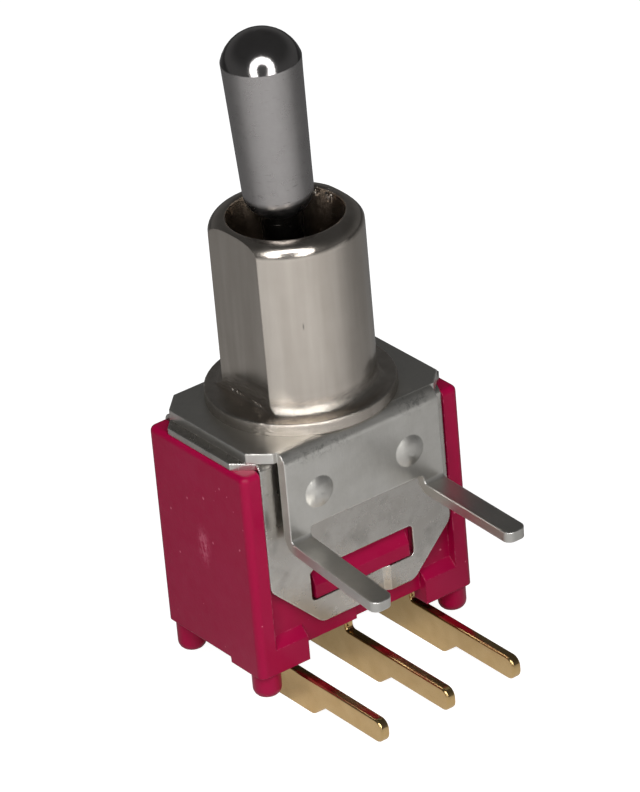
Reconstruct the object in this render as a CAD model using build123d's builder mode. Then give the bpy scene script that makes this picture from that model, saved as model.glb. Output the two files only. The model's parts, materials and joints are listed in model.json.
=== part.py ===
from build123d import *
import os
from math import acos, cos, degrees, radians, sin, sqrt

os.makedirs("parts", exist_ok=True)

# Sub-miniature toggle switch with right-angle board pins and a support bracket.
# Millimetres. The bushing's axis is Z. Z = 0 is the top of the bushing's flange, which a panel seats on.
# The lever swings left and right, in the XZ plane. The board pins point forward, along -Y.

# --- clearances ---
seat_gap = 0.02  # round pieces that are put together once
run_gap = 0.05  # round pieces that turn or slide on each other
slip_gap = 0.04  # folded sheet beside its neighbour

# --- bushing ---
barrel_radius = 2.36
barrel_height = 5.63
barrel_round = 0.46  # of its top's outer edge
flat_half = 2.03  # from the axis to each of the two flats
mouth_radius = 1.81
mouth_round = 0.06
throat_radius = 1.32
flange_radius = 2.95
flange_thickness = 0.40
flange_fillet = 0.32  # at the barrel's foot
flange_edge_round = 0.09
spigot_radius = 1.85  # goes down through the bracket and the frame
lip_overhang = 0.17  # the staked lip under the frame
lip_height = 0.24

# --- lever ---
pivot_height = 2.14
rest_tilt = -2.4  # degrees about +Y: the lever's tip stands a little to -X
ball_radius = 1.50
neck_radius = 0.62
grip_end_radius = 1.08
grip_end_reach = 4.35  # from the pivot to where the grip rounds in to the neck
grip_end_round = 0.75
grip_radius = 1.22  # at the foot of the dome, where the lever is thickest
grip_reach = 8.69  # from the pivot to the foot of the dome
dome_height = 0.92
stub_radius = 1.00
stub_reach = 2.60
plunger_bore_radius = 0.65
plunger_bore_roof = 0.55  # below the pivot
pin_radius = 0.35
pin_engagement = 0.29  # of the pivot pin's ends in the bushing's grooves
pin_chamfer = 0.04

# --- plunger and spring ---
plunger_reach = 5.20  # from the pivot to the centre of the plunger's round tip
plunger_tip_radius = 0.50
plunger_taper = 0.60
plunger_guide = 1.10  # length of the plunger that lies in the lever's bore
nub_radius = 0.28
nub_height = 0.30
wire_radius = 0.075
spring_turns = 3.5

# --- sheet metal ---
bracket_sheet = 0.34
frame_sheet = 0.22
bend_radius = 0.08  # inside a fold

# --- support bracket ---
bracket_half_width = 3.64
bracket_rear = 2.50
bracket_corner = 0.66
bracket_cut = 0.58  # of its front corners, along Y
bracket_shoulder = 0.14  # of the top plate, beside the front plate
bracket_gap = 0.20  # from the frame's leg to the front plate
bracket_drop = 2.36  # from the underside of its top plate to the edge between the pins
bracket_inner_radius = 0.17
bracket_pin_pitch = 5.08
bracket_pin_width = 0.74
bracket_pin_centre = 2.87  # below the underside of its top plate
bracket_pin_bend = 0.48  # outside of the fold
bracket_pin_reach = 4.02  # from the bracket's face to the pin's tip, before the tip's sag
bracket_pin_round = 0.26
left_pin_sag = 6.0  # degrees below level
right_pin_sag = 1.8
emboss_pitch = 3.44
emboss_radius = 0.52
emboss_height = 0.15
emboss_drop = 1.34  # below the underside of the bracket's top plate

# --- frame ---
frame_inset = 0.11  # of its top plate from the case's sides
frame_front_corner = 1.64  # along Y, where the top plate's corners start
frame_rear_corner = 1.48
leg_rise = 0.86  # from the case's underside to the leg's lower edge
left_leg_foot = 1.66  # half-width of the leg's lower edge, below its slanted corners
right_leg_foot = 1.90
leg_corner_radius = 0.45
window_width = 3.94
window_height = 1.06
window_radius = 0.16
bar_height = 0.84  # under the window
crimp_start = -0.20  # along X, where the bar starts to lean in
crimp_low = 0.82
crimp_end = 1.02
crimp_depth = 0.12

# --- case ---
case_width = 8.20
case_depth = 4.86
case_height = 6.80
case_fillet = 0.24
case_top_fillet = 0.18
stand_drop = 0.19  # of the two front corners, below the underside
stand_rear = 0.86  # from the axis forward, where they start
cheek = 0.62
recess_depth = 0.30
wall = 0.52
wall_rise = 0.24  # of the walls' lower edges, between the blocks
floor_level = 1.00  # above the underside
potting_depth = 0.50
potting_half_width = 3.30
potting_half_depth = 1.80
block_width = 1.21
block_height = 0.92
block_slope = 0.29
foot_radius = 0.45
foot_height = 1.04
foot_inset = 0.05
foot_round = 0.27
lug_width = 3.60
lug_flat = 0.42
lug_gap = 0.05

# --- terminals ---
terminal_pitch = 2.54
terminal_sheet = 0.32
blade_top = -0.53  # from the case's underside
blade_bottom = -1.30
heel_bottom = -1.73
heel_rear = 1.27
heel_corner = 0.18
heel_front = -2.97
shoulder_run = 0.58
stem_front = -1.41
blade_reach = 6.42
blade_tip_radius = 0.32
blade_edge_round = 0.07
inner_corner_radius = 0.12
ridge_radius = 0.14
post_half = 0.75
potting_cover = 0.06  # how far the potting's face stands back from the walls' lower edges

# --- contacts ---
rocker_ratio = -0.6  # rocker turns per lever turn
rocker_pivot = 3.75  # above the case's underside
rocker_sheet = 0.30
rocker_half_depth = 0.80
rocker_trough_radius = 2.50
rocker_trough_half = 1.10
rocker_arm_drop = 0.62  # of the arm's top, below the rocker's pivot
rocker_shoulder = 1.42
rocker_knee = 1.98
rocker_end = 2.62
tip_gap = 0.05  # between the plunger's tip and the trough
fulcrum_gap = 0.05
tab_sheet = 0.30
tab_top = 2.38
tab_inner = 1.80
tab_bend = 0.24  # outside of the fold
pad_radius = 0.42
pad_height = 0.12
pad_chamfer = 0.04
pad_place = 2.28

# --- levels and faces that follow from them ---
bracket_top = -flange_thickness
frame_top = bracket_top - bracket_sheet
case_top = frame_top - frame_sheet
case_bottom = case_top - case_height
lip_top = case_top - seat_gap
lip_bottom = lip_top - lip_height
lip_radius = spigot_radius + lip_overhang
sheet_hole = spigot_radius + seat_gap
bore_radius = ball_radius + run_gap
recess_half = case_width / 2 - cheek
recess_face = case_depth / 2 - recess_depth
cavity_half_depth = recess_face - wall
leg_half = recess_half - slip_gap
leg_inner = recess_face + slip_gap
leg_face = leg_inner + frame_sheet
leg_bottom = case_bottom + leg_rise
window_bottom = leg_bottom + bar_height
bracket_inner = leg_face + bracket_gap
bracket_face = bracket_inner + bracket_sheet
bracket_pin_place = bracket_pin_pitch / 2
bracket_front_half = bracket_pin_place + bracket_pin_width / 2
rocker_tilt = rocker_ratio * rest_tilt


def turned(angle):
    """The directions of X and Z after a turn about +Y, in degrees."""
    a = radians(angle)
    return (cos(a), 0, -sin(a)), (sin(a), 0, cos(a))


lever_x, lever_z = turned(rest_tilt)
lever_plane = Plane(origin=(0, 0, pivot_height), x_dir=lever_x, z_dir=(0, -1, 0))
lever_axis = Axis((0, 0, pivot_height), lever_z)
rocker_x, rocker_z = turned(rocker_tilt)
rocker_plane = Plane(
    origin=(0, 0, case_bottom + rocker_pivot), x_dir=rocker_x, z_dir=(0, -1, 0)
)

# Bushing: flange, flatted barrel with a flared mouth, ball seat, and spigot staked under the frame.
throat_height = pivot_height + sqrt(bore_radius**2 - throat_radius**2)
seat_angle = degrees(acos(throat_radius / bore_radius))
with BuildPart() as bushing:
    with BuildSketch(Plane.XZ) as bushing_profile:
        with BuildLine():
            CenterArc((0, pivot_height), bore_radius, 0, seat_angle)
            Polyline(
                (throat_radius, throat_height),
                (mouth_radius, barrel_height),
                (barrel_radius, barrel_height),
                (barrel_radius, 0),
                (flange_radius, 0),
                (flange_radius, bracket_top),
                (spigot_radius, bracket_top),
                (spigot_radius, lip_top),
                (lip_radius, lip_top),
                (lip_radius, lip_bottom),
                (bore_radius, lip_bottom),
                (bore_radius, pivot_height),
            )
        make_face()
        for corner, radius in (
            ((barrel_radius, 0), flange_fillet),
            ((flange_radius, 0), flange_edge_round),
            ((mouth_radius, barrel_height), mouth_round),
            ((barrel_radius, barrel_height), barrel_round),
        ):
            fillet(bushing_profile.vertices().sort_by_distance(corner)[0], radius)
    revolve(axis=Axis.Z)
    flat_cut = barrel_radius - flat_half + flange_fillet
    with Locations(*[(s * (flat_half + flat_cut / 2), 0, barrel_height / 2) for s in (-1, 1)]):
        Box(flat_cut, 2 * flange_radius, barrel_height, mode=Mode.SUBTRACT)
    # Two grooves, open at the bottom, hold the ends of the pivot pin.
    groove_half = pin_radius + run_gap
    with BuildSketch(Plane.XZ):
        with Locations((0, (pivot_height + lip_bottom) / 2)):
            Rectangle(2 * groove_half, pivot_height - lip_bottom)
        with Locations((0, pivot_height)):
            Circle(groove_half)
    extrude(amount=bore_radius + pin_engagement + run_gap, both=True, mode=Mode.SUBTRACT)
bushing.part.label = "bushing"

# Lever: domed conical grip, ball, and a hollow stub below the ball.
neck_height = sqrt(ball_radius**2 - neck_radius**2)
stub_height = -sqrt(ball_radius**2 - stub_radius**2)
shoulder_angle = degrees(acos(1 - (grip_end_radius - neck_radius) / grip_end_round))
neck_angle = degrees(acos(neck_radius / ball_radius))
stub_angle = -degrees(acos(stub_radius / ball_radius))
dome_radius = (grip_radius**2 + dome_height**2) / (2 * dome_height)
with BuildPart() as lever:
    with BuildSketch(lever_plane):
        with BuildLine():
            RadiusArc((grip_radius, grip_reach), (0, grip_reach + dome_height), -dome_radius)
            Line((grip_radius, grip_reach), (grip_end_radius, grip_end_reach))
            shoulder = CenterArc(
                (grip_end_radius - grip_end_round, grip_end_reach), grip_end_round, 0, -shoulder_angle
            )
            Line(shoulder @ 1, (neck_radius, neck_height))
            CenterArc((0, 0), ball_radius, stub_angle, neck_angle - stub_angle)
            Polyline(
                (stub_radius, stub_height),
                (stub_radius, -stub_reach),
                (plunger_bore_radius, -stub_reach),
                (plunger_bore_radius, -plunger_bore_roof),
                (0, -plunger_bore_roof),
                (0, grip_reach + dome_height),
            )
        make_face()
    revolve(axis=lever_axis)
    with BuildSketch(Plane.XZ):
        with Locations((0, pivot_height)):
            Circle(pin_radius + seat_gap)
    extrude(amount=ball_radius, both=True, mode=Mode.SUBTRACT)
lever.part.label = "lever"

with BuildPart() as pivot_pin:
    with BuildSketch(Plane.XZ):
        with Locations((0, pivot_height)):
            Circle(pin_radius)
    extrude(amount=bore_radius + pin_engagement, both=True)
    chamfer(pivot_pin.edges(), pin_chamfer)
pivot_pin.part.label = "pivot_pin"

# Plunger: slides in the lever's stub and rides on the rocker.
shank_radius = plunger_bore_radius - run_gap
shank_top = plunger_guide - stub_reach
with BuildPart() as plunger:
    with BuildSketch(lever_plane):
        with BuildLine():
            CenterArc((0, -plunger_reach), plunger_tip_radius, -90, 90)
            Polyline(
                (plunger_tip_radius, -plunger_reach),
                (shank_radius, plunger_taper - plunger_reach),
                (shank_radius, shank_top),
                (nub_radius, shank_top),
                (nub_radius, shank_top + nub_height),
                (0, shank_top + nub_height),
                (0, -plunger_reach - plunger_tip_radius),
            )
        make_face()
    revolve(axis=lever_axis)
plunger.part.label = "plunger"

# Spring: pushes the plunger out of the lever's stub.
spring_radius = shank_radius - wire_radius
spring_length = -plunger_bore_roof - shank_top - 2 * (wire_radius + seat_gap)
spring_start = Plane(
    origin=lever_axis.position + lever_axis.direction * (shank_top + wire_radius + seat_gap),
    x_dir=lever_x,
    z_dir=lever_z,
)
with BuildPart() as spring:
    with BuildLine(spring_start) as coil:
        Helix(pitch=spring_length / spring_turns, height=spring_length, radius=spring_radius)
    with BuildSketch(Plane(origin=coil.line @ 0, z_dir=coil.line % 0)):
        Circle(wire_radius)
    sweep()
spring.part.label = "spring"

# Frame: one folded sheet over the case, with a windowed leg down its front and its back.
with BuildPart() as frame:
    with BuildSketch(Plane.YZ):
        with Locations((0, (frame_top + leg_bottom) / 2)):
            Rectangle(2 * leg_face, frame_top - leg_bottom)
        with Locations((0, (case_top + leg_bottom) / 2)):
            Rectangle(2 * leg_inner, case_top - leg_bottom, mode=Mode.SUBTRACT)
    extrude(amount=leg_half, both=True)
    for s in (-1, 1):
        for corner, radius in (
            ((0, s * leg_face, frame_top), bend_radius + frame_sheet),
            ((0, s * leg_inner, case_top), bend_radius),
        ):
            fillet(frame.edges().filter_by(Axis.X).sort_by_distance(corner)[0], radius)
    wing = case_width / 2 - frame_inset
    wing_width = wing - leg_half
    with BuildSketch(Plane.XY.offset(case_top)):
        with BuildLine():
            Polyline(
                (-wing, -frame_front_corner),
                (-leg_half, -frame_front_corner - wing_width),
                (leg_half, -frame_front_corner - wing_width),
                (wing, -frame_front_corner),
                (wing, frame_rear_corner),
                (leg_half, frame_rear_corner + wing_width),
                (-leg_half, frame_rear_corner + wing_width),
                (-wing, frame_rear_corner),
                close=True,
            )
        make_face()
    extrude(amount=frame_sheet)
    with BuildSketch(Plane.XY.offset(case_top)):
        Circle(sheet_hole)
    extrude(amount=frame_sheet, mode=Mode.SUBTRACT)
    # The legs' slanted lower corners, the windows, and the gap where each bar is crimped.
    leg_feet = ((-1, left_leg_foot), (1, right_leg_foot))
    with BuildSketch(Plane.XZ):
        for s, foot in leg_feet:
            with BuildLine():
                Polyline(
                    (s * leg_half, leg_bottom),
                    (s * foot, leg_bottom),
                    (s * leg_half, leg_bottom + leg_half - foot),
                    close=True,
                )
            make_face()
        with Locations((0, window_bottom + window_height / 2)):
            RectangleRounded(window_width, window_height, window_radius)
        with Locations(((crimp_start + crimp_end) / 2, leg_bottom + bar_height / 2)):
            Rectangle(crimp_end - crimp_start, bar_height)
    extrude(amount=leg_face, both=True, mode=Mode.SUBTRACT)
    for s, foot in leg_feet:
        for x, z in ((foot, leg_bottom), (leg_half, leg_bottom + leg_half - foot)):
            corner_edges = frame.edges().filter_by(Axis.Y).sort_by_distance((s * x, 0, z))
            fillet(corner_edges[:2], leg_corner_radius)
    for s in (-1, 1):
        with BuildSketch(Plane.XY.offset(leg_bottom)):
            with BuildLine():
                Polyline(
                    (crimp_start, s * leg_face),
                    (crimp_low, s * (leg_face - crimp_depth)),
                    (crimp_end, s * leg_face),
                    (crimp_end, s * leg_inner),
                    (crimp_low, s * (leg_inner - crimp_depth)),
                    (crimp_start, s * leg_inner),
                    close=True,
                )
            make_face()
        extrude(amount=bar_height)
frame.part.label = "frame"

# Support bracket: top plate under the flange, front plate with two board pins, two embossed domes.
bracket_under = bracket_top - bracket_sheet
bracket_edge = bracket_under - bracket_drop
with BuildPart() as bracket:
    with BuildSketch(Plane.YZ):
        with BuildLine():
            Polyline(
                (bracket_rear, bracket_top),
                (-bracket_face, bracket_top),
                (-bracket_face, bracket_edge),
                (-bracket_inner, bracket_edge),
                (-bracket_inner, bracket_under),
                (bracket_rear, bracket_under),
                close=True,
            )
        make_face()
    extrude(amount=bracket_front_half, both=True)
    for corner, radius in (
        ((0, -bracket_face, bracket_top), bend_radius + bracket_sheet),
        ((0, -bracket_inner, bracket_under), bend_radius),
    ):
        fillet(bracket.edges().filter_by(Axis.X).sort_by_distance(corner)[0], radius)
    shoulder_half = bracket_front_half + bracket_shoulder
    with BuildSketch(Plane.XY.offset(bracket_under)):
        with BuildLine():
            Polyline(
                (-bracket_half_width, bracket_cut - bracket_inner),
                (-shoulder_half, -bracket_inner),
                (shoulder_half, -bracket_inner),
                (bracket_half_width, bracket_cut - bracket_inner),
                (bracket_half_width, bracket_rear - bracket_corner),
                (bracket_half_width - bracket_corner, bracket_rear),
                (bracket_corner - bracket_half_width, bracket_rear),
                (-bracket_half_width, bracket_rear - bracket_corner),
                close=True,
            )
        make_face()
    extrude(amount=bracket_sheet)
    with BuildSketch(Plane.XY.offset(bracket_under)):
        Circle(sheet_hole)
    extrude(amount=bracket_sheet, mode=Mode.SUBTRACT)
    # Board pins, folded forward from the front plate's lower corners.
    pin_level = bracket_under - bracket_pin_centre
    root_half = bracket_pin_place - bracket_pin_width / 2
    for side, sag in ((-1, left_pin_sag), (1, right_pin_sag)):
        pin_side = side * bracket_pin_place - bracket_pin_width / 2
        with BuildSketch(Plane.YZ.offset(pin_side)):
            with BuildLine():
                fold_top = (-bracket_inner, pin_level - bracket_sheet / 2 + bracket_pin_bend)
                drop = Line((-bracket_inner, bracket_edge), fold_top)
                fold = JernArc(drop @ 1, (0, -1), bracket_pin_bend, sag - 90)
                run_length = bracket_pin_reach + bracket_sheet - bracket_pin_bend
                PolarLine(fold @ 1, run_length, direction=fold % 1)
                offset(amount=bracket_sheet, side=Side.RIGHT)
            make_face()
        extrude(amount=bracket_pin_width)
        root = (side * root_half, -bracket_inner, bracket_edge)
        fillet(bracket.edges().filter_by(Axis.Y).sort_by_distance(root)[0], bracket_inner_radius)
    tips = bracket.faces().sort_by(Axis.Y)[:2]
    fillet(tips.edges().filter_by(Axis.X, reverse=True), bracket_pin_round)
    # Domes pressed outward, hollow behind.
    cap_radius = (emboss_radius**2 + emboss_height**2) / (2 * emboss_height)
    for s in (-1, 1):
        for face, mode in ((bracket_inner, Mode.SUBTRACT), (bracket_face, Mode.ADD)):
            dome_foot = (s * emboss_pitch / 2, -face, bracket_under - emboss_drop)
            dome = Plane(origin=dome_foot, x_dir=(1, 0, 0), z_dir=(0, 0, -1))
            with BuildSketch(dome):
                with BuildLine():
                    RadiusArc((emboss_radius, 0), (0, emboss_height), -cap_radius)
                    Polyline((0, emboss_height), (0, 0), (emboss_radius, 0))
                make_face()
            revolve(axis=Axis(dome.origin, (0, 1, 0)), mode=mode)
bracket.part.label = "bracket"

# Case: moulded box, open at the top, with recesses for the frame's legs, lugs, feet and terminal slots.
outline = (case_width, case_depth)
with BuildPart() as case:
    with BuildSketch(Plane.XY.offset(case_bottom - stand_drop)):
        RectangleRounded(*outline, case_fillet)
    extrude(amount=stand_drop + case_height)
    fillet(case.faces().sort_by(Axis.Z)[-1].edges(), case_top_fillet)
    # Only the two front corners stand below the underside, and the walls rise between the blocks.
    stand_middle = case_bottom - stand_drop / 2
    with Locations((0, (case_depth / 2 - stand_rear) / 2, stand_middle)):
        Box(case_width, case_depth / 2 + stand_rear, stand_drop, mode=Mode.SUBTRACT)
    with Locations((0, 0, stand_middle)):
        Box(2 * potting_half_width, 2 * potting_half_depth, stand_drop, mode=Mode.SUBTRACT)
    rise_half = recess_half - block_width
    with Locations((0, 0, case_bottom + (wall_rise - stand_drop) / 2)):
        Box(2 * rise_half, case_depth, stand_drop + wall_rise, mode=Mode.SUBTRACT)
    for s in (-1, 1):
        recess_middle = case_bottom + case_height / 2
        with Locations((0, s * (recess_face + recess_depth / 2), recess_middle)):
            Box(2 * recess_half, recess_depth, case_height, mode=Mode.SUBTRACT)
        # The recess's top edge makes way for the inside of the frame's fold.
        lead_in = case.edges().filter_by(Axis.X).sort_by_distance((0, s * recess_face, case_top))
        chamfer(lead_in[0], bend_radius)
        # Blocks with sloped tops fill the recess's lower corners, above the feet.
        for side in (-1, 1):
            with BuildSketch(Plane.YZ.offset(side * (recess_half - block_width / 2))):
                with BuildLine():
                    Polyline(
                        (s * recess_face, case_bottom),
                        (s * case_depth / 2, case_bottom),
                        (s * case_depth / 2, case_bottom + block_height - block_slope),
                        (s * recess_face, case_bottom + block_height),
                        close=True,
                    )
                make_face()
            extrude(amount=block_width / 2, both=True)
        # A lug stands in the frame's window, with a ramp that the frame's bar slides over.
        lug_bottom = window_bottom + lug_gap
        lug_top = window_bottom + window_height - lug_gap
        with BuildSketch(Plane.YZ):
            with BuildLine():
                Polyline(
                    (s * recess_face, lug_bottom),
                    (s * leg_face, lug_bottom),
                    (s * leg_face, lug_bottom + lug_flat),
                    (s * recess_face, lug_top),
                    close=True,
                )
            make_face()
        extrude(amount=lug_width / 2, both=True)
        # Room for the frame's crimp, under the lug.
        crimp_room = crimp_depth + slip_gap
        room_middle = (crimp_start + crimp_end) / 2
        room_height = lug_bottom - case_bottom
        with Locations(
            (room_middle, s * (recess_face - crimp_room / 2), case_bottom + room_height / 2)
        ):
            Box(crimp_end - crimp_start, crimp_room, room_height, mode=Mode.SUBTRACT)
        for side in (-1, 1):
            foot_place = (
                side * (case_width / 2 - foot_radius - foot_inset),
                s * (case_depth / 2 - foot_radius - foot_inset),
            )
            with BuildSketch(Plane.XY.offset(case_bottom)):
                with Locations(foot_place):
                    Circle(foot_radius)
            extrude(amount=-foot_height)
    fillet(case.faces().sort_by(Axis.Z)[:4].edges(), foot_round)
    cavity_height = case_height - floor_level
    with Locations((0, 0, case_top - cavity_height / 2)):
        Box(2 * recess_half, 2 * cavity_half_depth, cavity_height, mode=Mode.SUBTRACT)
    lip_room = case_top - lip_bottom + slip_gap
    with Locations((0, 0, case_top - lip_room / 2)):
        Cylinder(lip_radius + run_gap, lip_room, mode=Mode.SUBTRACT)
    with Locations((0, 0, case_bottom + potting_depth / 2)):
        Box(2 * potting_half_width, 2 * potting_half_depth, potting_depth, mode=Mode.SUBTRACT)
    slot_middle = case_bottom + (potting_depth + floor_level) / 2
    with Locations(*[(n * terminal_pitch, 0, slot_middle) for n in (-1, 0, 1)]):
        Box(
            terminal_sheet + 2 * seat_gap,
            2 * (post_half + seat_gap),
            floor_level - potting_depth,
            mode=Mode.SUBTRACT,
        )
case.part.label = "case"

# Terminals: flat blades with a heel, a shoulder and a post that stands up through the case's floor.
names = ("left", "centre", "right")
rocker_level = case_bottom + rocker_pivot
trough_bottom = plunger_reach + plunger_tip_radius + tip_gap
trough_level = pivot_height - trough_bottom - rocker_level
fulcrum_top = rocker_level + trough_level - rocker_sheet - fulcrum_gap
potting_top = case_bottom + potting_depth
terminals = []
for n, name in zip((-1, 0, 1), names):
    post_top = fulcrum_top if n == 0 else case_bottom + tab_top
    with BuildPart() as terminal:
        with BuildSketch(Plane.YZ.offset(n * terminal_pitch - terminal_sheet / 2)) as blank:
            with BuildLine():
                Polyline(
                    (-post_half, post_top),
                    (-post_half, potting_top),
                    (stem_front, potting_top),
                    (stem_front, case_bottom + blade_top),
                    (-blade_reach, case_bottom + blade_top),
                    (-blade_reach, case_bottom + blade_bottom),
                    (heel_front - shoulder_run, case_bottom + blade_bottom),
                    (heel_front, case_bottom + heel_bottom),
                    (heel_rear, case_bottom + heel_bottom),
                    (heel_rear, potting_top),
                    (post_half, potting_top),
                    (post_half, post_top),
                    close=True,
                )
            make_face()
            corners = blank.vertices()
            fillet(corners.group_by(Axis.X)[0], blade_tip_radius)
        extrude(amount=terminal_sheet)
        inner = (n * terminal_pitch, stem_front, case_bottom + blade_top)
        fillet(terminal.edges().filter_by(Axis.X).sort_by_distance(inner)[0], inner_corner_radius)
        heel = (n * terminal_pitch, heel_rear, case_bottom + heel_bottom)
        chamfer(terminal.edges().filter_by(Axis.X).sort_by_distance(heel)[0], heel_corner)
        blade_edges = terminal.edges().filter_by(Axis.X, reverse=True)
        fillet(blade_edges.filter_by_position(Axis.Y, -blade_reach, heel_front), blade_edge_round)
        if n == 0:
            # The centre terminal's top is the rounded edge that the rocker rocks on.
            ridge = terminal.faces().sort_by(Axis.Z)[-1].edges().filter_by(Axis.Y)
            fillet(ridge, ridge_radius)
        else:
            # The outer terminals' tops are folded inward, to carry the fixed contacts.
            tab_outer = terminal_pitch + terminal_sheet / 2
            with Locations(
                (n * (tab_outer + tab_inner) / 2, 0, case_bottom + tab_top - tab_sheet / 2)
            ):
                Box(tab_outer - tab_inner, 2 * post_half, tab_sheet)
            corner = (n * tab_outer, 0, case_bottom + tab_top)
            bends = terminal.edges().filter_by(Axis.Y).sort_by_distance(corner)
            fillet(bends[0], tab_bend)
    terminal.part.label = f"terminal_{name}"
    terminals.append(terminal)

contacts = []
for n, name in ((-1, "left"), (1, "right")):
    with BuildPart() as contact:
        with BuildSketch(Plane.XY.offset(case_bottom + tab_top)):
            with Locations((n * pad_place, 0)):
                Circle(pad_radius)
        extrude(amount=pad_height)
        chamfer(contact.faces().sort_by(Axis.Z)[-1].edges(), pad_chamfer)
    contact.part.label = f"contact_{name}"
    contacts.append(contact)

# Potting that seals the terminals into the case's underside.
with BuildPart() as potting:
    potting_face = case_bottom + wall_rise + potting_cover
    with BuildSketch(Plane.XY.offset(potting_face)):
        Rectangle(2 * potting_half_width, 2 * potting_half_depth)
        with Locations(*[(n * terminal_pitch, (stem_front + heel_rear) / 2) for n in (-1, 0, 1)]):
            Rectangle(terminal_sheet, heel_rear - stem_front, mode=Mode.SUBTRACT)
    extrude(amount=potting_top - potting_face)
potting.part.label = "potting"

# Rocker: a folded strip with a trough for the plunger's tip and two arms that meet the contacts.
with BuildPart() as rocker:
    trough_centre = trough_level + rocker_trough_radius
    trough_edge = trough_centre - sqrt(rocker_trough_radius**2 - rocker_trough_half**2)
    with BuildSketch(rocker_plane):
        with BuildLine():
            left = Polyline(
                (-rocker_end, -rocker_arm_drop),
                (-rocker_knee, -rocker_arm_drop),
                (-rocker_shoulder, trough_edge),
                (-rocker_trough_half, trough_edge),
            )
            right = Polyline(
                (rocker_trough_half, trough_edge),
                (rocker_shoulder, trough_edge),
                (rocker_knee, -rocker_arm_drop),
                (rocker_end, -rocker_arm_drop),
            )
            ThreePointArc(left @ 1, (0, trough_level), right @ 0)
            offset(amount=rocker_sheet, side=Side.RIGHT)
        make_face()
    extrude(amount=rocker_half_depth, both=True)
rocker.part.label = "rocker"

pieces = [bushing, lever, pivot_pin, plunger, spring, frame, bracket, case, *terminals, *contacts]
for piece in [*pieces, potting, rocker]:
    export_step(piece.part, f"parts/{piece.part.label}.step")
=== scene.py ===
import json
import math

import bpy
from mathutils import Matrix, Vector


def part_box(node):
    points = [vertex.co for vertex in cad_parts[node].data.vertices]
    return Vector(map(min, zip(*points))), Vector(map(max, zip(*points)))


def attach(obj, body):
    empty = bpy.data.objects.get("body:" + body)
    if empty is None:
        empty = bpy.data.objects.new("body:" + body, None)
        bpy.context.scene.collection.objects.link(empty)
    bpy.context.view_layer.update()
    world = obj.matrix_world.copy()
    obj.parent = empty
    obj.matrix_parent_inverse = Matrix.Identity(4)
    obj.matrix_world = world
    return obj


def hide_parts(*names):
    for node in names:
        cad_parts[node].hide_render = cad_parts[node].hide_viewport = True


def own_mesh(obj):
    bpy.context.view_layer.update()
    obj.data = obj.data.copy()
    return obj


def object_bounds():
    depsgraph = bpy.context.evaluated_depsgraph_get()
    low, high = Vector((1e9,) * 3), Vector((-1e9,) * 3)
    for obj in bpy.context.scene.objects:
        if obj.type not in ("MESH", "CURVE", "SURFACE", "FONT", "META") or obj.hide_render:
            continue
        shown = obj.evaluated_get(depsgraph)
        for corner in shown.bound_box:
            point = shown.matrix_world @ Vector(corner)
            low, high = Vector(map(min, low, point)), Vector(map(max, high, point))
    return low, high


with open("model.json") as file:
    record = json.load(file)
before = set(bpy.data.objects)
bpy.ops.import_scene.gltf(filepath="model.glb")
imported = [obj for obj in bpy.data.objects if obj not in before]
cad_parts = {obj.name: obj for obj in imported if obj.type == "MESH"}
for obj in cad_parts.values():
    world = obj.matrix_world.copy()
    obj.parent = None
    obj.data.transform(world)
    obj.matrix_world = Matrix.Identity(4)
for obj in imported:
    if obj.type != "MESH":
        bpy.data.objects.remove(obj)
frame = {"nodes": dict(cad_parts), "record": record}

cad_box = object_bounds()
MM = 0.001
X, Y, Z = range(3)


def mm(x, y, z):
    """A point or a size that is given in millimetres, in metres."""
    return Vector((x, y, z)) * MM


def colour(r, g, b):
    return (r, g, b, 1.0)


def grey(tone):
    return colour(tone, tone, tone)


# --- sizes and places: metres and degrees, in the part's frame, with Z = 0 on top of the flange ---

# The view: where the camera stands round the switch, how close it is, and what it aims at.
VIEW_AZIMUTH = -34.77
VIEW_ELEVATION = 28.46
VIEW_ROLL = -5.27
VIEW_DISTANCE = 171.1 * MM
VIEW_LENS = 257.5  # millimetres, on a 36 mm sensor
VIEW_CENTRE = mm(0, 0, 0.24)
AIM_RIGHT = 0.614 * MM
AIM_DOWN = 0.778 * MM
CLIP_START = 10 * MM
CLIP_END = 10

# The studio: an arch of soft panels round the camera, a pale floor, and a dim room with a dark ceiling.
PANEL_DISTANCE = 75 * MM
PANEL_OFFSET = 32 * MM
PANEL_SIZE = (18 * MM, 23 * MM)
PANEL_WATTS = 0.0082
PANEL_ANGLES = range(-30, 211, 30)
FLOOR_HALF = 1.5
FLOOR_TONE = 0.55
FLOOR_CAMERA_GLOW = 0.93
FLOOR_GLOSS_GLOW = 0.30
GLOW_START = -2 * MM  # towards the camera, from the bushing's axis
GLOW_FULL = 22 * MM
FILL_CENTRE = (0, -3 * MM, cad_box[0].z)  # painted light: the floor under the switch glows where its metal mirrors it, lifting the shadow there
FILL_FULL = 4.5 * MM
FILL_END = 9 * MM
FILL_GLOW = 0.29
BACKDROP_TONE = 0.12
CEILING_TONE = 0.06
BACKDROP_TOP = 0.16  # sine of the elevation where the backdrop starts to darken
CEILING_START = 0.60

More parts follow.
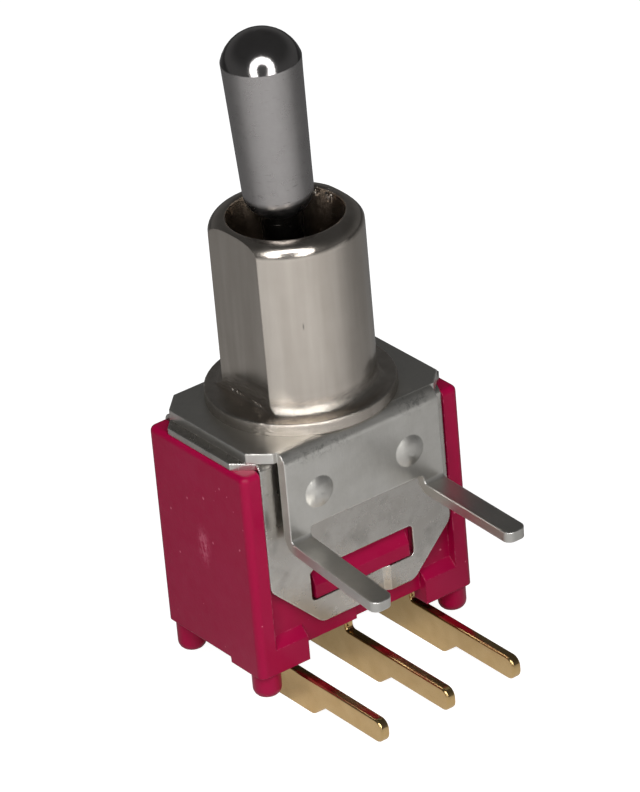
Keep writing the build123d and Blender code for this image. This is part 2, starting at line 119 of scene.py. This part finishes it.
# Marks that have a place of their own: the centre and the radii of an ellipsoid.
BUSHING_CHIPS = [
    (mm(1.80, 0.15, 5.50), mm(0.29, 0.29, 0.29)),  # in the rim of the mouth
    (mm(1.66, 0.70, 5.50), mm(0.20, 0.20, 0.20)),
    (mm(-2.10, 0.60, 0.13), mm(0.30, 0.80, 0.09)),  # along the foot of the left flat
    (mm(-2.10, -0.55, 0.10), mm(0.30, 0.45, 0.10)),
]
BARREL_TICK = (mm(-1.15, -2.06, 2.96), mm(0.035, 0.40, 0.17))
FOLD_SCUFFS = [  # along the bracket's top fold
    (mm(-1.6, -2.93, -0.72), mm(2.2, 0.45, 0.36)),
    (mm(2.1, -2.80, -0.62), mm(1.3, 0.60, 0.42)),
]
CASE_SMUDGE = (mm(-4.10, 0.00, -4.20), mm(0.20, 0.42, 0.90))
CASE_DUST = [  # specks on the case's left face
    (mm(-4.10, y, z), mm(0.06, 0.06, 0.06))
    for y, z in ((0.65, -2.79), (-0.22, -2.44), (-1.13, -1.76), (-0.51, -3.89), (1.59, -3.53))
]

# Where one finish passes into another.
MOUTH_WALL = 1.84 * MM  # from the axis: inside of this the bushing's mouth gets painted shade, darker and browner
MOUTH_EDGE = 0.03 * MM
FOOT_TOP = 0.70 * MM  # the barrel is scuffed from here down
FOOT_FULL = 0.15 * MM
DOME_HEIGHT = 0.96 * MM
DOME_EDGE = 0.01 * MM
LEVER_SLOPE = 0.042  # of the tilted lever
RUB_TOP = 7.3 * MM  # the lever is rubbed from here down
RUB_FULL = 6.4 * MM
NECK_SHADE_TOP = 6.05 * MM  # painted shade on the lever's neck, which stands in the bushing's mouth, from here down
NECK_SHADE_FULL = 5.75 * MM
PIN_ROOT = -3.4 * MM  # along Y, where painted shade starts on the bracket's pins, darkening them towards their tips
PIN_TIP = -5.6 * MM
PIN_TIP_SHADE = 0.15


# --- camera and studio ---


def camera_axes():
    """The camera's right, up and backward directions, before it is aimed."""
    a, e, roll = (math.radians(v) for v in (VIEW_AZIMUTH, VIEW_ELEVATION, VIEW_ROLL))
    back = Vector((math.sin(a) * math.cos(e), -math.cos(a) * math.cos(e), math.sin(e)))
    level_right = Vector((math.cos(a), math.sin(a), 0))
    level_up = back.cross(level_right)
    right = math.cos(roll) * level_right + math.sin(roll) * level_up
    up = math.cos(roll) * level_up - math.sin(roll) * level_right
    return right, up, back


def look(obj, place, target, up):
    """Stands an object at a place, with its -Z towards the target and its Y as near to up as can be."""
    back = (place - target).normalized()
    right = up.cross(back).normalized()
    axes = Matrix((right, back.cross(right), back)).transposed()
    obj.matrix_world = Matrix.Translation(place) @ axes.to_4x4()


def add_object(name, data):
    """Adds data to the scene as an object of its own."""
    obj = bpy.data.objects.new(name, data)
    bpy.context.scene.collection.objects.link(obj)
    return obj


def add_camera():
    right, up, back = camera_axes()
    data = bpy.data.cameras.new("camera")
    data.lens = VIEW_LENS
    data.clip_start = CLIP_START
    data.clip_end = CLIP_END
    camera = add_object("camera", data)
    target = VIEW_CENTRE + right * AIM_RIGHT - up * AIM_DOWN
    look(camera, VIEW_CENTRE + back * VIEW_DISTANCE, target, up)
    bpy.context.scene.camera = camera


def add_panels():
    """Soft lamps in an arch round the camera, each turned to the switch."""
    right, up, back = camera_axes()
    for n, angle in enumerate(PANEL_ANGLES):
        a = math.radians(angle)
        outward = right * math.cos(a) + up * math.sin(a)
        data = bpy.data.lights.new(f"panel_{n}", "AREA")
        data.shape = "RECTANGLE"
        data.size, data.size_y = PANEL_SIZE
        data.energy = PANEL_WATTS
        lamp = add_object(f"panel_{n}", data)
        lamp.visible_camera = False
        place = VIEW_CENTRE + back * PANEL_DISTANCE + outward * PANEL_OFFSET
        look(lamp, place, VIEW_CENTRE, outward)


class Nodes:
    """A short way to write a node tree: add makes a node, and its inputs take values or other sockets."""

    NOISE_LOW, NOISE_HIGH = 0.3, 0.7  # most of a noise texture's values lie between these
    EDGE_FLAT, EDGE_SHARP = 0.98, 0.80  # cosine between a true and a rounded normal
    BEVEL_SAMPLES = 4

    def __init__(self, tree):
        self.tree = tree
        tree.nodes.clear()

    def add(self, kind, inputs=(), **settings):
        node = self.tree.nodes.new(kind)
        for key, value in settings.items():
            setattr(node, key, value)
        for key, value in dict(inputs).items():
            if isinstance(value, bpy.types.NodeSocket):
                self.tree.links.new(value, node.inputs[key])
            else:
                node.inputs[key].default_value = value
        return node.outputs

    def maths(self, operation, a, b):
        return self.add("ShaderNodeMath", {0: a, 1: b}, operation=operation)[0]

    def plus(self, a, b):
        return self.maths("ADD", a, b)

    def minus(self, a, b):
        return self.maths("SUBTRACT", a, b)

    def times(self, a, b):
        return self.maths("MULTIPLY", a, b)

    def highest(self, first, *rest):
        for value in rest:
            first = self.maths("MAXIMUM", first, value)
        return first

    def vector_maths(self, operation, a, b):
        return self.add("ShaderNodeVectorMath", {0: a, 1: b}, operation=operation)

    def range(self, value, low, high, to_low=0.0, to_high=1.0, smooth=False):
        """Turns low to high into to_low to to_high, and goes no further either way."""
        return self.add(
            "ShaderNodeMapRange",
            {"Value": value, "From Min": low, "From Max": high, "To Min": to_low, "To Max": to_high},
            interpolation_type="SMOOTHSTEP" if smooth else "LINEAR",
        )[0]

    def spread(self, noise, to_low, to_high):
        """Turns the values that noise mostly has into to_low to to_high."""
        return self.range(noise, self.NOISE_LOW, self.NOISE_HIGH, to_low, to_high)

    def mix_value(self, factor, a, b):
        return self.add("ShaderNodeMix", {"Factor": factor, "A": a, "B": b}, data_type="FLOAT")[0]

    def mix(self, factor, a, b):
        first_colour, second_colour, result = 6, 7, 2  # places of the colour sockets on this node
        inputs = {"Factor": factor, first_colour: a, second_colour: b}
        return self.add("ShaderNodeMix", inputs, data_type="RGBA")[result]

    def place(self):
        return self.add("ShaderNodeTexCoord")["Object"]

    def along(self, axis):
        """One object coordinate, X, Y or Z, in metres."""
        return self.add("ShaderNodeSeparateXYZ", {0: self.place()})[axis]

    def distance(self, centre, vector=None):
        """Distance in metres from a point, in object coordinates unless a vector is given."""
        return self.vector_maths("DISTANCE", vector or self.place(), centre)["Value"]

    def axis_distance(self):
        """Distance in metres from the bushing's axis."""
        return self.distance((0, 0, 0), self.stretched(1, 1, 0))

    def spot(self, centre, radii):
        """1 at the centre of an ellipsoid, falling smoothly to 0 at its surface."""
        scaled = self.stretched(*(1 / r for r in radii))
        middle = tuple(c / r for c, r in zip(centre, radii))
        return self.range(self.distance(middle, scaled), 0, 1, 1, 0, smooth=True)

    def spots(self, marks):
        return self.highest(*[self.spot(centre, radii) for centre, radii in marks])

    def rounded(self, radius):
        """The normal that the solid would have with its edges rounded."""
        return self.add("ShaderNodeBevel", {"Radius": radius}, samples=self.BEVEL_SAMPLES)[0]

    def worn_edges(self, radius):
        """1 along the solid's sharp edges, 0 on its flat faces."""
        true = self.add("ShaderNodeNewGeometry")["Normal"]
        alike = self.vector_maths("DOT_PRODUCT", self.rounded(radius), true)["Value"]
        return self.range(alike, self.EDGE_FLAT, self.EDGE_SHARP)

    def stretched(self, x, y, z):
        """Object coordinates scaled along each axis, so that a texture draws out into lines."""
        return self.vector_maths("MULTIPLY", self.place(), (x, y, z))[0]

    def noise(self, grain, detail=2.0, roughness=0.5, vector=None, seed=0.0):
        """Noise from 0 to 1 whose grain is a length in metres."""
        out = self.add(
            "ShaderNodeTexNoise",
            {
                "Vector": vector or self.place(),
                "W": seed,
                "Scale": 1 / grain,
                "Detail": detail,
                "Roughness": roughness,
            },
            noise_dimensions="4D",
        )
        return out[0]

    def blots(self, grain, low, high, strength=1.0, **noise):
        """Patches of noise: nothing where it is below low, and full strength where it is above high."""
        return self.range(self.noise(grain, **noise), low, high, 0, strength)

    def bump(self, height, depth, edge=0.0):
        """A bumped normal. Depth is in metres, and edge rounds the solid's corners to that radius."""
        inputs = {"Height": height, "Distance": depth, "Strength": 1.0}
        if edge:
            inputs["Normal"] = self.rounded(edge)
        return self.add("ShaderNodeBump", inputs)[0]

    def shade(self, inputs):
        surface = self.add("ShaderNodeBsdfPrincipled", inputs)[0]
        self.add("ShaderNodeOutputMaterial", {"Surface": surface})


def new_material(name):
    """A material and its empty node tree."""
    material = bpy.data.materials.new(name)
    material.use_nodes = True
    return material, Nodes(material.node_tree)


def floor_paper():
    """Pale paper that the camera sees as white. Metal mirrors it with a painted glow: a pool of light in
    front of the switch, and a fill under it that lifts the switch's shadow.
    """
    material, nodes = new_material("floor")
    path = nodes.add("ShaderNodeLightPath")
    seen = nodes.times(path["Is Camera Ray"], FLOOR_CAMERA_GLOW)
    mirrored = nodes.highest(path["Is Glossy Ray"], path["Is Transmission Ray"])
    a = math.radians(VIEW_AZIMUTH)
    place = nodes.add("ShaderNodeNewGeometry")["Position"]
    forward = nodes.vector_maths("DOT_PRODUCT", place, (math.sin(a), -math.cos(a), 0))["Value"]
    # painted light: a glowing patch of floor in front of the switch, and a glowing fill in its shadow,
    # seen only in the metal
    patch = nodes.range(forward, GLOW_START, GLOW_FULL, 0, FLOOR_GLOSS_GLOW, smooth=True)
    fill = nodes.range(nodes.distance(FILL_CENTRE), FILL_FULL, FILL_END, FILL_GLOW, 0, smooth=True)
    glow = nodes.plus(seen, nodes.times(mirrored, nodes.highest(patch, fill)))
    paper = nodes.add("ShaderNodeBsdfDiffuse", {"Color": grey(FLOOR_TONE)})[0]
    lamp = nodes.add("ShaderNodeEmission", {"Color": grey(1), "Strength": glow})[0]
    both = nodes.add("ShaderNodeAddShader", {0: paper, 1: lamp})[0]
    nodes.add("ShaderNodeOutputMaterial", {"Surface": both})
    return material


def add_floor():
    level = cad_box[0].z
    low, high = -FLOOR_HALF, FLOOR_HALF
    corners = [(low, low, level), (high, low, level), (high, high, level), (low, high, level)]
    mesh = bpy.data.meshes.new("floor")
    mesh.from_pydata(corners, [], [(0, 1, 2, 3)])
    mesh.materials.append(floor_paper())
    add_object("floor", mesh)


def set_world():
    """White to the camera. What the metal mirrors is a dim backdrop that darkens to the ceiling."""
    world = bpy.data.worlds.new("studio")
    world.use_nodes = True
    nodes = Nodes(world.node_tree)
    direction = nodes.add("ShaderNodeTexCoord")["Generated"]
    height = nodes.add("ShaderNodeSeparateXYZ", {0: direction})[Z]
    tone = nodes.range(height, BACKDROP_TOP, CEILING_START, BACKDROP_TONE, CEILING_TONE, smooth=True)
    room = nodes.add("ShaderNodeCombineColor", {0: tone, 1: tone, 2: tone})[0]
    camera_ray = nodes.add("ShaderNodeLightPath")["Is Camera Ray"]
    seen = nodes.mix(camera_ray, room, grey(1))
    background = nodes.add("ShaderNodeBackground", {"Color": seen, "Strength": 1.0})[0]
    nodes.add("ShaderNodeOutputWorld", {"Surface": background})
    bpy.context.scene.world = world


# --- finishes: each function is named after its slot in the record ---


def bushing_nickel():
    """Turned nickel plate: mottled and streaked, with painted shade, darker and browner, in its mouth,
    scuffed at its foot, a few chips.
    """
    material, nodes = new_material("bushing_nickel")
    plate_dark, plate_light = colour(0.46, 0.415, 0.365), colour(0.58, 0.53, 0.475)
    ticked, mouth_shade_colour, bare = colour(0.16, 0.145, 0.13), colour(0.42, 0.37, 0.32), colour(0.80, 0.76, 0.70)
    tick_strength = 0.8
    scuff_height, chip_depth = 22, 30  # times that of the turning marks

    mottle = nodes.noise(1.1 * MM, detail=4, roughness=0.6)
    streaks = nodes.noise(0.45 * MM, vector=nodes.stretched(1, 1, 0.07), seed=21)
    tone = nodes.plus(mottle, nodes.range(streaks, 0.35, 0.65, -0.35, 0.35))
    mouth = nodes.range(nodes.axis_distance(), MOUTH_WALL, MOUTH_WALL - MOUTH_EDGE)
    foot = nodes.range(nodes.along(Z), FOOT_TOP, FOOT_FULL)
    drawn_round = nodes.stretched(0.45, 0.45, 1)
    scuffs = nodes.noise(0.06 * MM, detail=4, roughness=0.7, vector=drawn_round, seed=9)
    chips = nodes.times(nodes.spots(BUSHING_CHIPS), nodes.blots(0.10 * MM, 0.49, 0.59, seed=6))
    tick = nodes.times(nodes.spot(*BARREL_TICK), tick_strength)

    turned = nodes.noise(0.10 * MM, vector=nodes.stretched(0.05, 0.05, 1))
    height = nodes.minus(turned, nodes.blots(0.12 * MM, 0.70, 0.78, detail=1, seed=3))
    height = nodes.plus(height, nodes.times(nodes.times(foot, scuffs), scuff_height))
    height = nodes.minus(height, nodes.times(chips, chip_depth))

    plate = nodes.mix(tone, plate_dark, plate_light)
    plate = nodes.mix(tick, plate, ticked)
    # painted shade: darker and browner inside the mouth
    plate = nodes.mix(mouth, plate, mouth_shade_colour)
    nodes.shade({
        "Base Color": nodes.mix(chips, plate, bare),
        "Metallic": 1.0,
        "Roughness": nodes.mix_value(foot, nodes.spread(mottle, 0.15, 0.24), 0.22),
        "Normal": nodes.bump(height, depth=0.0014 * MM, edge=0.05 * MM),
    })
    return material


def lever_nickel():
    """A satin cone with turning marks, rubbed round its lower end, with painted shade on its neck inside
    the mouth, under a polished dome.
    """
    material, nodes = new_material("lever_nickel")
    satin_dark, satin_light = colour(0.29, 0.275, 0.27), colour(0.39, 0.375, 0.37)
    neck_shade_colour, ticked = colour(0.05, 0.045, 0.04), colour(0.12, 0.11, 0.105)
    tick_strength, tick_darkness = 0.35, 0.5
    tick_depth = 2  # times that of the turning marks
    dome_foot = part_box("lever")[1].z - DOME_HEIGHT

    level = nodes.minus(nodes.along(Z), nodes.times(nodes.along(X), LEVER_SLOPE))
    polished = nodes.range(level, dome_foot - DOME_EDGE, dome_foot + DOME_EDGE)
    rubbed = nodes.range(level, RUB_TOP, RUB_FULL)
    painted_neck_shade = nodes.range(level, NECK_SHADE_TOP, NECK_SHADE_FULL)
    mottle = nodes.noise(0.5 * MM, detail=4, roughness=0.65)
    turned = nodes.noise(0.05 * MM, detail=3, vector=nodes.stretched(0.04, 0.04, 1))
    ticks = nodes.blots(0.06 * MM, 0.66, 0.74, detail=1, vector=nodes.stretched(0.16, 0.16, 1), seed=4)
    marks = nodes.times(ticks, nodes.plus(tick_strength, rubbed))
    height = nodes.minus(turned, nodes.times(marks, tick_depth))
    height = nodes.times(height, nodes.minus(1, polished))

    tone = nodes.mix(mottle, satin_dark, satin_light)
    # painted shade: the neck darkens almost to black inside the bushing's mouth
    tone = nodes.mix(painted_neck_shade, tone, neck_shade_colour)
    nodes.shade({
        "Base Color": nodes.mix(nodes.times(marks, tick_darkness), tone, ticked),
        "Metallic": 1.0,
        "Roughness": nodes.mix_value(polished, nodes.spread(mottle, 0.24, 0.36), 0.13),
        "Normal": nodes.bump(height, depth=0.0016 * MM, edge=0.04 * MM),
    })
    return material


def sheet_steel(nodes, dark, light, smooth, rough, seed, marks):
    """Tin-plated sheet: cloudy, pale along its worn edges, where the paleness is partly wear and partly a
    painted highlight, with fine scratches along its height.
    """
    stain_and_shade, bare = colour(0.20, 0.195, 0.18), colour(0.90, 0.88, 0.84)
    scratch_depth = 0.35  # times that of the dents
    cloud = nodes.noise(0.9 * MM, detail=4, roughness=0.6, seed=seed)
    scratches = nodes.noise(0.05 * MM, vector=nodes.stretched(1, 1, 0.12), seed=seed)
    dents = nodes.noise(0.35 * MM, detail=3, seed=seed + 5)
    # pale edges: partly edge wear, partly a painted highlight along the edges
    worn_and_highlit_edges = nodes.times(nodes.worn_edges(0.09 * MM), nodes.range(dents, 0.28, 0.50))

    sheet = nodes.mix(nodes.range(cloud, 0.35, 0.65), dark, light)
    # marks take real stains and scuffs, and on the bracket also the painted shade towards the pins' tips
    sheet = nodes.mix(marks, sheet, stain_and_shade)
    height = nodes.plus(nodes.times(scratches, scratch_depth), dents)
    nodes.shade({
        "Base Color": nodes.mix(worn_and_highlit_edges, sheet, bare),
        "Metallic": 1.0,
        "Roughness": nodes.spread(cloud, rough, smooth),
        "Normal": nodes.bump(height, depth=0.006 * MM, edge=0.06 * MM),
    })


def bracket_steel():
    """Scuffed along its top fold, with painted shade darkening the pins towards their tips."""
    material, nodes = new_material("bracket_steel")
    scuffs = nodes.blots(0.13 * MM, 0.48, 0.62, detail=3, roughness=0.7, seed=8, strength=0.6)
    scuffs = nodes.times(nodes.spots(FOLD_SCUFFS), scuffs)
    # painted shade: the pins darken towards their tips
    painted_tip_shade = nodes.range(nodes.along(Y), PIN_ROOT, PIN_TIP, 0, PIN_TIP_SHADE)
    sheet_steel(
        nodes,
        dark=colour(0.56, 0.545, 0.51),
        light=colour(0.64, 0.625, 0.59),
        smooth=0.30,
        rough=0.42,
        seed=0,
        marks=nodes.highest(scuffs, painted_tip_shade),
    )
    return material


def frame_steel():
    """Smoother, and stained here and there."""
    material, nodes = new_material("frame_steel")
    sheet_steel(
        nodes,
        dark=colour(0.50, 0.475, 0.44),
        light=colour(0.58, 0.555, 0.52),
        smooth=0.22,
        rough=0.32,
        seed=11,
        marks=nodes.blots(0.7 * MM, 0.52, 0.72, detail=3, roughness=0.6, seed=15, strength=0.35),
    )
    return material


def case_red():
    """Moulded red plastic: a faint orange peel, chipped edges, pale dust and a rubbed smudge."""
    material, nodes = new_material("case_red")
    red_dark, red_light = colour(0.335, 0.0005, 0.042), colour(0.355, 0.004, 0.052)
    dusty = colour(0.92, 0.26, 0.38)
    dust_strength, smudge_strength = 0.5, 0.52
    cloud = nodes.blots(1.6 * MM, 0.50, 0.85, detail=3, seed=2)
    dust = nodes.highest(nodes.blots(0.14 * MM, 0.82, 0.86, detail=0, seed=7), nodes.spots(CASE_DUST))
    chips = nodes.blots(0.22 * MM, 0.48, 0.62, detail=3, roughness=0.7, seed=12, strength=0.45)
    chips = nodes.times(nodes.worn_edges(0.06 * MM), chips)
    drawn_down = nodes.stretched(1, 1, 0.6)
    rub = nodes.blots(0.12 * MM, 0.38, 0.64, detail=3, roughness=0.75, vector=drawn_down, seed=5)
    smudge = nodes.times(nodes.spot(*CASE_SMUDGE), rub)
    pale = nodes.highest(
        nodes.times(dust, dust_strength), chips, nodes.times(smudge, smudge_strength)
    )
    body = nodes.mix(cloud, red_dark, red_light)
    nodes.shade({
        "Base Color": nodes.mix(pale, body, dusty),
        "Roughness": nodes.spread(nodes.noise(0.5 * MM), 0.30, 0.42),
        "Specular IOR Level": 0.22,
        "Normal": nodes.bump(nodes.noise(0.11 * MM, seed=4), depth=0.004 * MM, edge=0.05 * MM),
    })
    return material


def gold_plate(name, dark, light):
    """Thin gold over stamped copper alloy."""
    material, nodes = new_material(name)
    cloud = nodes.noise(0.6 * MM, detail=3)
    grain = nodes.noise(0.05 * MM, vector=nodes.stretched(1, 0.15, 1))
    nodes.shade({
        "Base Color": nodes.mix(nodes.spread(cloud, 0, 1), dark, light),
        "Metallic": 1.0,
        "Roughness": nodes.spread(cloud, 0.14, 0.22),
        "Normal": nodes.bump(grain, depth=0.002 * MM, edge=0.04 * MM),
    })
    return material


def terminal_gold():
    return gold_plate("terminal_gold", colour(0.55, 0.375, 0.165), colour(0.63, 0.445, 0.215))


def contact_gold():
    return gold_plate("contact_gold", colour(0.78, 0.55, 0.20), colour(0.86, 0.64, 0.28))


def rocker_gold():
    return gold_plate("rocker_gold", colour(0.70, 0.50, 0.20), colour(0.78, 0.58, 0.28))


def plain_steel(name, tone, roughness):
    """Drawn or ground steel, with a fine grain."""
    material, nodes = new_material(name)
    grain = nodes.noise(0.04 * MM)
    nodes.shade({
        "Base Color": nodes.mix(grain, grey(tone * 0.9), grey(tone)),
        "Metallic": 1.0,
        "Roughness": nodes.spread(grain, roughness, roughness + 0.1),
        "Normal": nodes.bump(grain, depth=0.001 * MM),
    })
    return material


def pin_steel():
    return plain_steel("pin_steel", tone=0.60, roughness=0.25)


def spring_steel():
    return plain_steel("spring_steel", tone=0.52, roughness=0.30)


def plunger_nylon():
    """Natural nylon, waxy and slightly uneven."""
    material, nodes = new_material("plunger_nylon")
    cloud = nodes.noise(0.4 * MM, detail=3)
    nodes.shade({
        "Base Color": nodes.mix(cloud, colour(0.78, 0.75, 0.66), colour(0.86, 0.83, 0.76)),
        "Roughness": nodes.spread(cloud, 0.40, 0.52),
        "Normal": nodes.bump(cloud, depth=0.003 * MM, edge=0.03 * MM),
    })
    return material


def potting_resin():
    """Poured resin: dark, with a few small bubbles."""
    material, nodes = new_material("potting_resin")
    cloud = nodes.noise(0.8 * MM, detail=3)
    bubbles = nodes.blots(0.16 * MM, 0.74, 0.80, detail=0, seed=5)
    nodes.shade({
        "Base Color": nodes.mix(cloud, colour(0.035, 0.03, 0.028), colour(0.07, 0.06, 0.055)),
        "Roughness": nodes.spread(cloud, 0.25, 0.50),
        "Normal": nodes.bump(nodes.minus(cloud, bubbles), depth=0.02 * MM),
    })
    return material


# --- the switch ---


def dress():
    """Gives each CAD node the material of its slot in the record."""
    finishes = {
        make.__name__: make()
        for make in (
            bushing_nickel, lever_nickel, bracket_steel, frame_steel, case_red, terminal_gold,
            contact_gold, rocker_gold, pin_steel, spring_steel, plunger_nylon, potting_resin,
        )
    }
    for part in frame["record"]["subparts"]:
        node = frame["nodes"][part["node"]]
        node.data.materials.clear()
        node.data.materials.append(finishes[part["material_slot"]])


def add_coil_spring():
    """A copy of the spring with a mesh of its own, carried by the lever's body in place of the hidden CAD
    spring.
    """
    solid = frame["nodes"]["spring"]
    spring = add_object("coil_spring", solid.data.copy())
    spring.matrix_world = solid.matrix_world
    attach(spring, "lever")
    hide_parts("spring")
    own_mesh(spring)


bpy.context.scene.view_settings.view_transform = "Standard"
add_camera()
add_panels()
add_floor()
set_world()
dress()
add_coil_spring()
